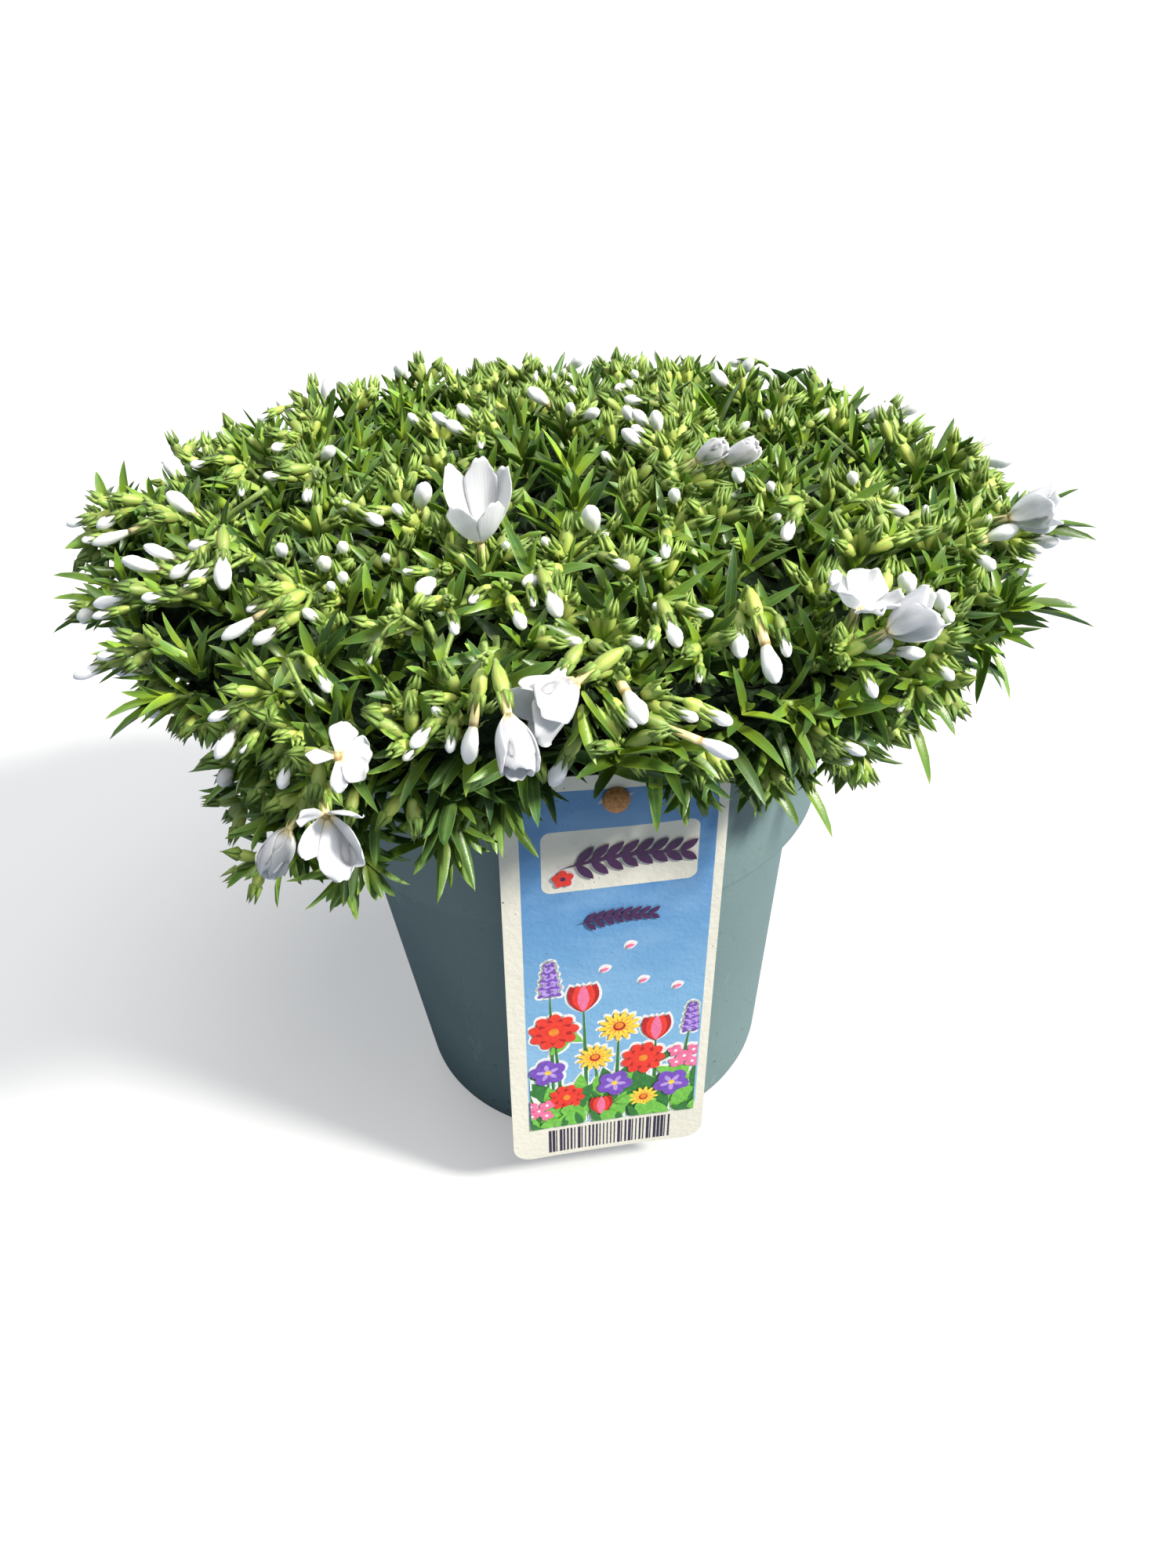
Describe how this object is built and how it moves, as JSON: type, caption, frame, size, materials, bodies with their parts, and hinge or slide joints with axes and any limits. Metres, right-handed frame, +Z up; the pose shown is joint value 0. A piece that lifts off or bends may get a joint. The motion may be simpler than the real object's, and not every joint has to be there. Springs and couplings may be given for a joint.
{
  "type": "potted phlox plant",
  "caption": "Low, wide mat-forming phlox in white bud and bloom, spilling over a round tapered nursery pot with a hanging plant label held by a push peg.",
  "frame": {"origin": "centre of the pot's flat base", "axes": "+Z up along the pot's axis; the label hangs on the -Y side; +X to the right seen from the label's side"},
  "size_m": [0.2816, 0.2675, 0.2272],
  "materials": {
    "pot": "satin petrol-teal moulded plastic with fine scuffs",
    "soil": "rough dark brown potting soil",
    "label": "printed sheet with an off-white border and a blue panel",
    "peg": "warm orange-brown, lightly mottled",
    "foliage": "waxy green leaves, dark inside and yellow-green at the tips",
    "petal": "soft white petals with a faint cool shade"
  },
  "bodies": {
    "root": {"pot": "pot", "soil": "soil", "label": "label", "peg": "peg", "foliage": "foliage", "bloom_upright": "petal", "bloom_back_left": "petal", "bloom_back_right": "petal", "bloom_right_edge": "petal", "bloom_right_upper": "petal", "bloom_right_lower": "petal", "bloom_front_right": "petal", "bloom_front_left": "petal", "bloom_corner_open": "petal", "bloom_corner_half": "petal", "bloom_corner_shut": "petal"}
  },
  "joints": []
}
